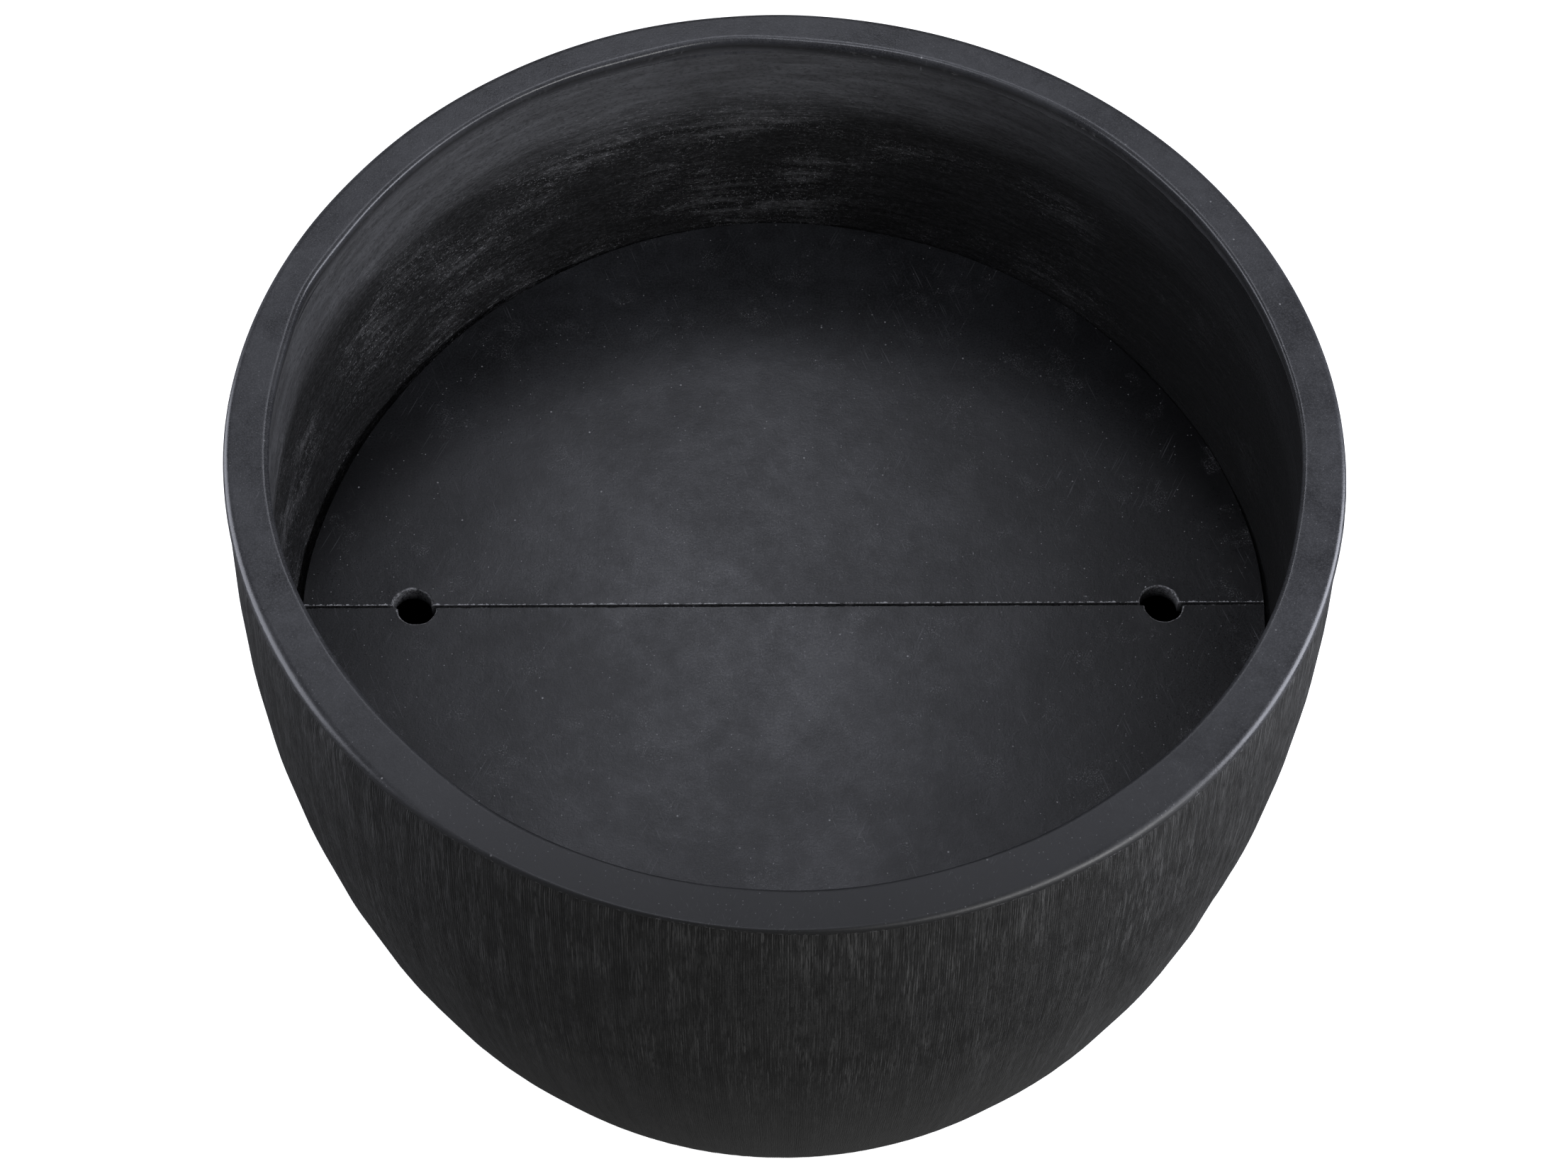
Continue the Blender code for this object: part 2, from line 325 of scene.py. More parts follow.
def make_face_coat(look):
    """The brushed layer: the side, the lower corner and the ring that the bowl stands on."""
    top = HEIGHT - COAT_TOP
    last = corner_start(HEIGHT, OUTER_CORNER)
    depths = [top, top + 0.004, top + 0.010, *np.linspace(top + 0.022, last, 9)[:-1]]
    outside = side_profile(depths, HEIGHT, OUTER_CORNER, 0, 3)
    inside = layer_joint([top, HEIGHT - SHELL_TOP], COAT)
    foot = [(RECESS_RADIUS, 0), (RECESS_RADIUS - RECESS_SLOPE, RECESS_DEPTH)]
    radius, height, turn = spread(outside + foot + inside[::-1], GROOVES * len(GROOVE_SHAPE))
    depth = HEIGHT - height
    front = np.arange(len(radius))[:, None] < len(outside)
    random = np.random.default_rng(SEED)
    grooves = brushed_relief(random, turn, depth / HEIGHT)
    grooves *= ease((radius - 0.20) / 0.09)  # the brush didn't reach under the bowl
    slow = 0.0004 * (1 + ring_noise(random, turn, depth / HEIGHT, 9, 3))
    dents = coat_dents(random, turn, depth)
    below = ease((depth - top) / 0.012)
    lumps = 0.0005 * (1 + ring_noise(random, turn, depth / 0.03, 260, 3)) * (1 - below)
    cut = GROOVE_DEPTH * grooves + (slow + dents) * below + COAT_STEP * (1 - below) + lumps
    cut *= ease((height + 0.002) / 0.06)  # the foot stays true
    radius = radius * oval(turn, depth) - np.where(front, cut, 0)
    # The brush wandered, so the grooves do too.
    drift = 0.0010 * ring_noise(random, turn, depth / HEIGHT, 60, 3)
    drift += 0.0002 * ring_noise(random, turn, depth / HEIGHT, GROOVES // 3, 3)
    drift /= WIDEST_RADIUS
    mesh = turned_mesh("face_coat", radius, height, 70, drift)
    set_weights(mesh, "groove", np.where(front, grooves, 0.5))
    set_weights(mesh, "top", 1 - ease((depth - top) / 0.035))
    coat = add_object("face_coat", mesh, look)
    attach(coat, "bowl")
    return coat


# ------------------------------ laminate


def wall_bulges(turn, height):
    """How far the laminate stands inwards of its nominal face, where it was laid thicker."""
    near_shelf = np.exp(-(((height - SHELF_TOP) / 0.07) ** 2))
    band = np.exp(-(((height - SHELL_TOP + 0.050) / 0.022) ** 2))
    return near_shelf * bumps(turn, WALL_BUMPS) + 0.0022 * band


def board_reach(turn):
    """How far the shelf boards reach from the bowl's axis, with their small shift and turn."""
    angle = turn * 2 * math.pi
    shift = SHELF_CENTRE.x * np.cos(angle) + SHELF_CENTRE.y * np.sin(angle)
    return plate_edge(angle - SEAM_TURN) + shift


def trowel_relief(random, turn, height):
    """Streaks and ridges that run round the wall, in metres inwards."""
    share = height / HEIGHT
    long_streaks = ring_noise(random, turn, share, 30, 56)
    short_streaks = ring_noise(random, turn, share, 150, 96)
    lumps = ring_noise(random, turn, share, 90, 30)
    rough = 0.35 + 0.65 * ease((SHELL_TOP - 0.035 - height) / 0.05)
    return rough * (0.00028 * long_streaks + 0.00030 * short_streaks + 0.00030 * lumps)


def make_laminate(look, floor_look, inner_look):
    """The body of the wall behind the coat, with the floor, the drain hole and the shallow recess."""
    top = HEIGHT - SHELL_TOP
    back = COAT + LAYER_GAP
    outside = layer_joint([top], back)
    outside += [(RECESS_RADIUS - RECESS_SLOPE, back), (DRAIN_RADIUS + DRAIN_EDGE, RECESS_DEPTH)]
    drain = [
        (DRAIN_RADIUS, RECESS_DEPTH + DRAIN_EDGE),
        (DRAIN_RADIUS, BASE_THICKNESS - DRAIN_EDGE),
        (DRAIN_RADIUS + DRAIN_EDGE, BASE_THICKNESS),
    ]
    inner_last = corner_start(HEIGHT - BASE_THICKNESS, INNER_CORNER)
    shelf_depth = HEIGHT - SHELF_TOP + 0.02
    depths = [*np.linspace(top, shelf_depth, 46)[:-1], *np.linspace(shelf_depth, inner_last, 12)]
    inside = side_profile(depths, HEIGHT - BASE_THICKNESS, INNER_CORNER, WALL, 7)
    floor = [(radius, BASE_THICKNESS) for radius in FLOOR_RINGS]
    outline = outside + drain + floor + inside[::-1]
    radius, height, turn = spread(outline, LAMINATE_COLUMNS)
    random = np.random.default_rng(SEED + 1)
    first_floor_row = len(outside) + 1
    first_wall_row = len(outside) + len(drain) + len(floor)
    wall = np.arange(len(radius))[:, None] >= first_wall_row
    relief = trowel_relief(random, turn, height) + wall_bulges(turn, height)
    relief *= ease((SHELL_TOP - height) / 0.004)
    close = 0.0001
    above_floor = np.where(height < BASE_THICKNESS + close, 0.0, 1.0)
    on_floor = (~wall) & (height > BASE_THICKNESS - close) & (radius > FLAT_FLOOR_RADIUS)
    puddled = PUDDLE_DEPTH * ring_noise(random, turn, radius / RIM_RADIUS, 24, 12)
    radius = radius * oval(turn, HEIGHT - height) - np.where(wall, relief * above_floor, 0)
    beside = wall & (height > PLATE_LOW.z - BESIDE_BOARDS) & (height < SHELF_TOP + BESIDE_BOARDS)
    radius = np.where(beside, np.maximum(radius, board_reach(turn) + BOARD_CLEARANCE), radius)
    height = height + np.where(on_floor, puddled, 0)
    mesh = turned_mesh("laminate", radius, height, 60)
    row = np.arange(len(outline))
    look_of_row = (row >= first_floor_row).astype(np.int32) + (row >= first_wall_row)
    look_of_face = np.repeat(look_of_row, LAMINATE_COLUMNS).astype(np.int32)
    mesh.polygons.foreach_set("material_index", look_of_face)
    laminate = add_object("laminate", mesh, look, floor_look, inner_look)
    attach(laminate, "bowl")
    return laminate


# ------------------------------ rim


def ragged(random, turn, coarse, fine):
    """Unevenness from 0 to 1 of an edge that was smeared on by hand."""
    waves = ring_wobble(random, turn, coarse) + 0.8 * ring_wobble(random, turn, fine)
    return np.clip(0.4 + 0.4 * waves, 0, 1)


def make_rim(look):
    """The smooth rim: flat on top, soft at its outer edge, with ragged laps over both sides of the wall."""
    turn = np.arange(RIM_COLUMNS) / RIM_COLUMNS
    random = np.random.default_rng(SEED + 2)
    shape = oval(turn, 0)
    inner = (RIM_RADIUS - RIM_WIDTH) * shape + bumps(turn, INNER_EDGE_BUMPS)
    inner += RIPPLE * ring_wobble(random, turn, 34)
    outer = RIM_RADIUS * shape + bumps(turn, OUTER_EDGE_BUMPS)
    outer -= RIPPLE * (1 + ring_wobble(random, turn, 40))
    top = HEIGHT - 0.0004 * (1 + ring_wobble(random, turn, 14)) / 2
    outer_round = RIM_OUTER_ROUND + bumps(turn, OUTER_ROUND_BUMPS)
    outer_round += 0.0004 * ring_wobble(random, turn, 20)
    inner_round = RIM_INNER_ROUND * (1 + 0.25 * ring_wobble(random, turn, 30))
    outer_edge = HEIGHT - np.maximum(RIM_BAND, outer_round + 0.0010)
    outer_edge -= BAND_RAG * ragged(random, turn, 55, 210)
    lip_edge = RIM_BOTTOM - 0.0003 - LIP_RAG * ragged(random, turn, 38, 170)
    band = outer + RIPPLE * ring_wobble(random, turn, 180)
    seat = (RIM_RADIUS - COAT) * shape - 0.0006  # the coat stands against this

    rows = []
    # Round the inner edge of the top, across the top and round its outer edge.
    for i in range(6):
        angle = math.pi * (1 - 0.5 * i / 5)
        across, down = 1 + math.cos(angle), math.sin(angle) - 1
        rows.append((inner + inner_round * across, top + inner_round * down))
    for share in (0.04, 0.35, 0.65, 0.96):
        start, end = inner + inner_round, outer - outer_round
        rows.append((start + (end - start) * share, top))
    for i in range(10):
        angle = math.pi / 2 * (1 - i / 9)
        across, down = math.cos(angle) - 1, math.sin(angle) - 1
        rows.append((outer + outer_round * across, top + outer_round * down))
    # Down the band outside and round its lower edge.
    high, low = top - outer_round, outer_edge + BAND_ROUND
    for share in (0.4, 0.9):
        rows.append((outer + (band - outer) * share, high + (low - high) * share))
    for i in range(4):
        angle = -math.pi / 2 * i / 3
        across, up = math.cos(angle) - 1, 1 + math.sin(angle)
        rows.append((band + BAND_ROUND * across, outer_edge + BAND_ROUND * up))
    # Under the rim, where the coat and the laminate stand.
    ledge, underside = 0 * turn + COAT_TOP + LAYER_GAP, 0 * turn + RIM_BOTTOM
    rows += [(band - RIM_LAP, outer_edge), (band - RIM_LAP, ledge), (seat, ledge), (seat, underside)]
    rows += [(inner + LIP_WIDTH, underside), (inner + LIP_WIDTH, lip_edge + 0.0003)]
    # Round the lip's lower edge and up the inside.
    for i in range(5):
        angle = -math.pi / 2 - math.pi / 2 * i / 4
        across, up = 1 + math.cos(angle), 1 + math.sin(angle)
        rows.append((inner + LIP_ROUND * across, lip_edge + LIP_ROUND * up))
    lip_low, lip_high = lip_edge + LIP_ROUND, top - inner_round
    for share in (0.25, 0.6):
        drag = RIPPLE * ring_wobble(random, turn, 90)
        rows.append((inner + drag, lip_low + (lip_high - lip_low) * share))
    radius = np.array([r for r, _ in rows])
    height = np.array([z for _, z in rows])
    undercut = LIP_LEAN * ease((HEIGHT - RIM_INNER_ROUND - height) / (HEIGHT - RIM_BOTTOM))
    radius += np.where(radius < inner + 0.003, undercut, 0)
    mesh = turned_mesh("rim", radius, height, 60)
    edges = 1 - ease(np.minimum(abs(height - outer_edge), abs(height - lip_edge)) / 0.0022)
    set_weights(mesh, "ragged", edges)
    # The painted shade on the lip leaves the inner round bright, apart from a stretch on the right where it
    # covers the round.
    from_right = (turn * 360 + 175) % 360 - 180
    bright = 1 - 0.85 * np.exp(-((from_right / 30) ** 2))
    on_inside, on_outside = radius < inner + 0.006, radius > outer - 0.004
    lapped = ease((top - LIP_SHADE_END - height) / 0.004)
    inside = ease((top - inner_round * 0.9 * bright - height) / 0.003) * on_inside
    inside *= 1 - lapped
    outside = ease((top - outer_round * 0.55 - height) / 0.0020) * on_outside
    set_weights(mesh, "shaded", np.maximum(inside, outside))
    outer_rounded = (height > top - outer_round) & (radius > outer - outer_round)
    inner_rounded = (height > top - inner_round) & (radius < inner + inner_round)
    set_weights(mesh, "rounded", np.where(outer_rounded | inner_rounded, 1.0, 0.0))
    set_weights(mesh, "lapped", lapped * on_inside)
    rim = add_object("rim", mesh, look)
    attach(rim, "bowl")
    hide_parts("rim_cap")


# ------------------------------ shelf plates


def plate_edge(angle):
    """Radius of a board's round edge at an angle in radians: a hand-cut board isn't quite round."""
    return PLATE_RADIUS + bumps(angle / (2 * math.pi), PLATE_BUMPS) + 0.0002 * np.sin(17 * angle)


def plate_outline(side, notches):
    """(x, y) round a half disc with half-round notches in its straight edge, counter-clockwise from above.

    side is 1 for the half on the +Y side and -1 for the other. notches are the notches' x, rising.
    """
    edge = SEAM_WIDTH / 2 + SEAM_WEAR
    spacing = 0.0016
    arc_steps, notch_steps = 260, 24
    cut_away = math.asin(edge / PLATE_RADIUS)
    outline = []
    for i in range(arc_steps + 1):
        angle = cut_away + (math.pi - 2 * cut_away) * i / arc_steps
        radius = float(plate_edge(side * angle))
        outline.append((radius * math.cos(angle), radius * math.sin(angle)))
    x = outline[-1][0]
    for notch in [*notches, PLATE_RADIUS + FINGER_RADIUS]:
        stop = min(notch - FINGER_RADIUS, outline[0][0] - spacing)
        steps = round((stop - x) / spacing)
        outline += [(x + (stop - x) * i / steps, edge) for i in range(1, steps)]
        if notch < PLATE_RADIUS:
            for i in range(notch_steps + 1):
                angle = math.pi * (1 - i / notch_steps)
                across, inwards = FINGER_RADIUS * math.cos(angle), FINGER_RADIUS * math.sin(angle)
                outline.append((notch + across, edge + inwards))
        x = notch + FINGER_RADIUS
    return [(px, side * py) for px, py in outline][::side]


def inward_normals(outline):
    """Unit vectors into a closed outline of points that run counter-clockwise."""
    along = np.roll(outline, -1, 0) - np.roll(outline, 1, 0)
    along /= np.linalg.norm(along, axis=1)[:, None]
    return np.stack([-along[:, 1], along[:, 0]], 1)


def edge_wear(random, outline, notches):
    """How much of the top edge has broken away at each point: most at the notches and along the seam."""
    count = len(outline)
    place = np.arange(count) / count
    chips = np.clip(0.6 * ring_wobble(random, place, 420) + ring_wobble(random, place, 90) - 0.35, 0, 1)
    seam = np.exp(-((np.abs(outline[:, 1]) / 0.016) ** 2))
    at_notch = np.zeros(count)
    for notch in notches:
        away = np.hypot(outline[:, 0] - notch, outline[:, 1])
        at_notch = np.maximum(at_notch, 1 - ease((away - FINGER_RADIUS) / 0.003))
    worn = 0.0003 + seam * 0.0005 * chips + 0.0003 * chips
    return worn + at_notch * (0.0013 + 0.0006 * ring_wobble(random, place, 300))


def inner_points(outline, spacing, margin):
    """A slightly staggered grid of points inside an outline, away from its edge."""
    low, high = outline.min(0), outline.max(0)
    xs = np.arange(low[0], high[0], spacing)
    ys = np.arange(low[1], high[1], spacing)
    grid = np.array([(x + spacing / 2 * (j % 2), y) for j, y in enumerate(ys) for x in xs])
    distance = np.full(len(grid), np.inf)
    batch = 64  # points of the outline at a time, to keep the arrays small
    for start in range(0, len(outline), batch):
        some = outline[start : start + batch]
        gaps = np.linalg.norm(grid[:, None] - some[None], axis=2).min(1)
        distance = np.minimum(distance, gaps)
    ahead = np.roll(outline, -1, 0)
    crossings = np.zeros(len(grid), int)
    for (ax, ay), (bx, by) in zip(outline, ahead):
        spans = (ay > grid[:, 1]) != (by > grid[:, 1])
        with np.errstate(divide="ignore", invalid="ignore"):
            at = ax + (grid[:, 1] - ay) * (bx - ax) / (by - ay)
        crossings += spans & (grid[:, 0] < at)
    return grid[(crossings % 2 == 1) & (distance > margin)]


def face_filled(ring, inside):
    """(points, triangles) that fill a ring of (x, y) points, using the points inside it too."""
    count = len(ring)
    points = [Vector(p) for p in ring.tolist() + inside.tolist()]
    edges = [(i, (i + 1) % count) for i in range(count)]
    made, _, faces, *_ = delaunay_2d_cdt(points, edges, [list(range(count))], 1, 1e-7)
    return [tuple(p) for p in made], [list(f) for f in faces]


def uneven_face(x, y):
    """A slow unevenness from -1 to 1 over the boards."""
    return 0.5 * math.sin(23 * x + 9 * y) * math.cos(17 * y - 5 * x) + 0.5 * math.sin(61 * x - 37 * y)


def make_plate(name, body, side, notch_shift, look, seed):
    """One shelf plate: a flat board with eased edges, broken along the seam, and a slightly uneven face."""
    random = np.random.default_rng(seed)
    notches = (notch_shift - FINGER_REACH, notch_shift + FINGER_REACH)
    outline = np.array(plate_outline(side, notches))
    inward = inward_normals(outline)
    wear = edge_wear(random, outline, notches)[:, None]
    count = len(outline)
    rings = [
        (outline + inward * BOARD_EDGE, -PLATE_THICKNESS + 0 * wear),
        (outline, -PLATE_THICKNESS + BOARD_EDGE + 0 * wear),
        (outline + inward * 0.0001, -wear * 0.9),
        (outline + inward * wear * 0.35, -wear * 0.3),
        (outline + inward * wear, 0 * wear),
    ]
    points = np.concatenate([np.concatenate([xy, z], 1) for xy, z in rings]).tolist()
    faces = []
    for level in range(len(rings) - 1):
        for i in range(count):
            j = (i + 1) % count
            low, high = level * count, (level + 1) * count
            faces.append((low + i, low + j, high + j, high + i))
    top_ring = rings[-1][0]
    margin = 0.003
    filled, triangles = face_filled(top_ring, inner_points(top_ring, BOARD_POINT_SPACING, margin))
    first_top = len(points) - count
    for x, y in filled[count:]:
        points.append((x, y, -BOARD_UNEVENNESS * (1 + uneven_face(x, y))))
    faces += [[first_top + k for k in triangle] for triangle in triangles]
    faces.append(list(range(count))[::-1])
    mesh = smooth_mesh(name, points, faces, 15)
    weights = np.zeros(len(points))
    at_seam = np.abs(outline[:, 1]) < 0.0015
    rubbed = np.maximum(ease((wear[:, 0] - 0.0005) / 0.0008), 0.3 * at_seam)
    weights[2 * count : 4 * count] = np.tile(rubbed, 2)  # the third and fourth rings, round the top edge
    set_weights(mesh, "worn", weights)
    plate = add_object(name, mesh, look)
    middle = SHELF_CENTRE + Vector((0, 0, SHELF_TOP))
    plate.matrix_world = Matrix.Translation(middle) @ Matrix.Rotation(SEAM_TURN, 4, "Z")
    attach(plate, body)
    return plate


# ------------------------------ material helpers


def add(kind, inputs, **settings):
    """A shader node of a kind. inputs sets sockets by name or number, to values or to other sockets.

    At least one of them has to be a socket, and the node goes where that socket is.
    """
    tree = next(value.id_data for value in inputs.values() if isinstance(value, bpy.types.NodeSocket))
    made = tree.nodes.new("ShaderNode" + kind)
    for name, value in settings.items():
        setattr(made, name, value)
    for socket, value in inputs.items():
        target = made.inputs[socket]
        if isinstance(value, bpy.types.NodeSocket):
            tree.links.new(value, target)
        else:
            target.default_value = value
    return made


def maths(operation, first, second=0.0, third=0.0):
    return add("Math", {0: first, 1: second, 2: third}, operation=operation).outputs[0]


def times(first, second):
    return maths("MULTIPLY", first, second)


def between(value, low, high, low_result=0.0, high_result=1.0):
    """value moved from the range low to high on to another range, and held there."""
    inputs = {"Value": value, "From Min": low, "From Max": high}
    inputs.update({"To Min": low_result, "To Max": high_result})
    return add("MapRange", inputs, clamp=True).outputs["Result"]


def blend(factor, first, second, strength=1.0):
    """The colour first where factor is 0, going to second as factor times strength goes to 1."""
    if strength < 1:
        factor = times(factor, strength)
    inputs = {0: factor}
    for socket, colour in ((6, first), (7, second)):
        inputs[socket] = colour if isinstance(colour, bpy.types.NodeSocket) else (*colour, 1)
    return add("Mix", inputs, data_type="RGBA").outputs[2]


def mesh_weights(look, name):
    """The numbers that set_weights put on the mesh by this name."""
    made = look.node_tree.nodes.new("ShaderNodeAttribute")
    made.attribute_name = name
    return made.outputs["Fac"]


def stretched(vector, x, y, z):
    """The place on a scale of its own along each axis. A scale below 1 draws the pattern out."""
    return add("VectorMath", {0: vector, 1: (x, y, z)}, operation="MULTIPLY").outputs[0]


def noise(vector, size, detail=3.0, roughness=0.55, distortion=0.0):
    """Noise from about 0 to 1 whose largest features measure size in metres."""
    inputs = {"Vector": vector, "Scale": 1 / size}
    inputs.update({"Detail": detail, "Roughness": roughness, "Distortion": distortion})
    return add("TexNoise", inputs).outputs[0]


def specks(vector, size, share):
    """Spots about size across on a level face, in that share of cells four times as wide.

    Each spot has its own brightness from 0.2 to 1, and the result is 0 between them.
    """
    cells = add("TexVoronoi", {"Vector": vector, "Scale": 1 / (4 * size)}, voronoi_dimensions="2D")
    near = between(cells.outputs["Distance"], 0.10, 0.16, 1.0, 0.0)
    pick = add("SeparateColor", {0: cells.outputs["Color"]})
    chosen = maths("LESS_THAN", pick.outputs[0], share)
    bright = between(pick.outputs[1], 0, 1, 0.2, 1.0)
    return times(near, times(chosen, bright))


def ring_place(vector):
    """The place on a cylinder as wide as the bowl, so that streaks keep their width, and the height."""
    parts = add("SeparateXYZ", {0: vector})
    flat = add("CombineXYZ", {0: parts.outputs[0], 1: parts.outputs[1]}).outputs[0]
    unit = add("VectorMath", {0: flat}, operation="NORMALIZE").outputs[0]
    wide = stretched(unit, WIDEST_RADIUS, WIDEST_RADIUS, 0)
    upright = add("CombineXYZ", {2: parts.outputs[2]}).outputs[0]
    return add("VectorMath", {0: wide, 1: upright}, operation="ADD").outputs[0], parts.outputs[2]


def bumped(height, distance, strength=1.0, before=None):
    inputs = {"Height": height, "Distance": distance, "Strength": strength}
    if before is not None:
        inputs["Normal"] = before
    return add("Bump", inputs).outputs[0]


def grey(level):
    return (level, level, level)


def new_look(name):
    """An empty material, and the place on the object as a socket."""
    look = bpy.data.materials.new(name)
    look.use_nodes = True
    return look, look.node_tree.nodes.new("ShaderNodeTexCoord").outputs["Object"]


def finish_look(look, colour, roughness, normal, specular=0.5):
    """The material, once its colour, roughness and normal sockets are joined to its shader."""
    tree = look.node_tree
    shader = tree.nodes["Principled BSDF"]
    tree.links.new(colour, shader.inputs["Base Color"])
    tree.links.new(roughness, shader.inputs["Roughness"])
    tree.links.new(normal, shader.inputs["Normal"])
    shader.inputs["Specular IOR Level"].default_value = specular
    return look


# ------------------------------ materials


def brushed_look():
    """Charcoal composite brushed from the rim down: dusty ridges, grooves darkened by painted shade, paler
    near the foot from painted floor light.
    """
    look, place = new_look("brushed composite")
    ring, height = ring_place(place)
    groove = mesh_weights(look, "groove")
    near_top = mesh_weights(look, "top")
    lines = noise(stretched(ring, 1, 1, 0.045), 0.0014, 3, 0.70)
    hairs = noise(stretched(ring, 1, 1, 0.07), 0.0009, 2, 0.6)
    patches = noise(ring, 0.09, 4, 0.6)
    blotches = noise(ring, 0.022, 4, 0.65)
    grit = noise(ring, 0.0016, 2, 0.6)
    ridge = maths("SUBTRACT", 1.0, groove)
    dustier = maths("MULTIPLY_ADD", near_top, 0.18, patches)
    streak = between(lines, 0.46, 0.62)
    streak = times(streak, between(dustier, 0.40, 0.68, 0.35, 0.85))
    streak = times(streak, between(ridge, 0.35, 0.80, 0.15, 1.0))
    dark, charcoal, dusty = grey(0.006), grey(0.017), grey(0.074)
    colour = blend(between(blotches, 0.35, 0.62), dark, charcoal)
    colour = blend(streak, colour, dusty)
    speckle = times(between(grit, 0.56, 0.70), between(patches, 0.55, 0.40))
    colour = blend(speckle, colour, dusty, 0.35)
    # Painted shade: the hollows of the grooves and of the fine hair lines are darkened.
    hair_line_shade = between(hairs, 0.46, 0.38, 0.0, 0.9)
    groove_and_hair_shade = maths("MAXIMUM", hair_line_shade, between(groove, 0.50, 0.90, 0.0, 0.8))
    colour = blend(groove_and_hair_shade, colour, grey(0.002), 0.9)
    # Painted light from the floor makes the coat paler near the foot.
    painted_floor_light = between(height, 0.10, 0.30, 0.7, 0.0)
    colour = blend(painted_floor_light, colour, grey(0.055))
    roughness = between(lines, 0.3, 0.7, 0.60, 0.80)
    normal = bumped(hairs, 0.0006, 0.9)
    normal = bumped(grit, 0.0003, 0.5, normal)
    return finish_look(look, colour, roughness, normal, 0.35)


def inner_wall_look():
    """The hand-laid inside: smooth under the lip, with a lighter band there that is partly its smoother
    finish and partly painted light, then rough with pale dry streaks.

    Painted shade darkens it towards the right, where it also has fewer pale streaks.
    """
    look, place = new_look("rough inner wall")
    ring, height = ring_place(place)
    drawn_out = stretched(ring, 0.5, 0.5, 1)
    streaks = noise(stretched(ring, 0.13, 0.13, 1), 0.006, 5, 0.65, 0.3)
    fine = noise(stretched(ring, 0.28, 0.28, 1), 0.0013, 3, 0.65)
    grain = noise(drawn_out, 0.0017, 4, 0.75)
    chips = noise(drawn_out, 0.005, 4, 0.8, 1.0)
    grit = noise(ring, 0.0014, 3, 0.7)
    side = add("SeparateXYZ", {0: place}).outputs[0]
    clouds = noise(drawn_out, 0.05, 4, 0.6)
    clouds = maths("ADD", clouds, between(side, -0.7 * RIM_RADIUS, RIM_RADIUS, 0.025, -0.06))
    waver = maths("MULTIPLY_ADD", clouds, 0.05, height)
    # The band under the lip is smoother, and part of its lighter colour is painted light.
    smooth_lit_band = between(waver, SHELL_TOP - 0.048, SHELL_TOP - 0.008)
    dark, charcoal, pale = (0.003, 0.003, 0.0032), (0.013, 0.013, 0.0137), (0.26, 0.26, 0.27)
    colour = blend(between(streaks, 0.38, 0.62), dark, charcoal)
    colour = blend(between(grain, 0.50, 0.62, 0.0, 0.7), colour, (0.036, 0.036, 0.0375))
    colour = blend(between(grain, 0.47, 0.36, 0.0, 0.9), colour, grey(0.002))
    smears = times(between(streaks, 0.44, 0.66), between(clouds, 0.50, 0.64))
    smears = times(smears, between(grain, 0.40, 0.60, 0.3, 1.0))
    colour = blend(smears, colour, (0.14, 0.14, 0.144), 0.85)
    scuffs = times(between(fine, 0.62, 0.68), between(clouds, 0.44, 0.58))
    colour = blend(scuffs, colour, pale, 0.8)
    chipped = times(between(chips, 0.71, 0.74), between(clouds, 0.44, 0.54))
    colour = blend(chipped, colour, pale, 0.7)
    dots = between(grit, 0.60, 0.66)
    dots = times(dots, between(clouds, 0.42, 0.60, 0.10, 0.9))
    colour = blend(dots, colour, pale)
    cracks = between(fine, 0.42, 0.34, 0.0, 0.8)
    colour = blend(cracks, colour, grey(0.003))
    # The band's colour is lighter than the wall's, partly as painted light.
    low_lit_band, high_lit_band = (0.046, 0.046, 0.048), (0.092, 0.093, 0.098)
    lit_band_colour = blend(between(streaks, 0.3, 0.7), low_lit_band, high_lit_band)
    pits = between(grain, 0.50, 0.38, 0.0, 0.5)
    lit_band_colour = blend(pits, lit_band_colour, (0.016, 0.016, 0.017))
    drags = times(between(fine, 0.62, 0.68), between(clouds, 0.50, 0.64))
    lit_band_colour = blend(drags, lit_band_colour, pale, 0.5)
    colour = blend(smooth_lit_band, colour, lit_band_colour)
    # Painted shade darkens the wall towards the right.
    painted_right_shade = between(side, 0.1 * RIM_RADIUS, 0.8 * RIM_RADIUS, 0.0, 0.85)
    colour = blend(painted_right_shade, colour, grey(0.003))
    roughness = between(smooth_lit_band, 0, 1, 0.78, 0.50)
    rough_part = maths("SUBTRACT", 1.0, times(smooth_lit_band, 0.8))
    normal = bumped(times(streaks, rough_part), 0.0030, 0.8)
    normal = bumped(times(fine, rough_part), 0.0012, 0.8, normal)
    normal = bumped(times(grit, rough_part), 0.0006, 0.7, normal)
    return finish_look(look, colour, roughness, normal, 0.3)


def bowl_floor_look():
    """The unseen floor inside: rough resin, paler where water has dried."""
    look, place = new_look("rough bowl floor")
    clouds = noise(place, 0.07, 5, 0.6, 0.5)
    grit = noise(place, 0.0018, 4, 0.7)
    colour = blend(between(clouds, 0.40, 0.62), grey(0.006), (0.019, 0.019, 0.020))
    dried = times(between(grit, 0.54, 0.64), between(clouds, 0.46, 0.62))
    colour = blend(dried, colour, (0.16, 0.16, 0.165), 0.5)
    roughness = between(clouds, 0.3, 0.7, 0.66, 0.82)
    normal = bumped(clouds, 0.0020, 0.6)
    normal = bumped(grit, 0.0007, 0.7, normal)
    return finish_look(look, colour, roughness, normal)


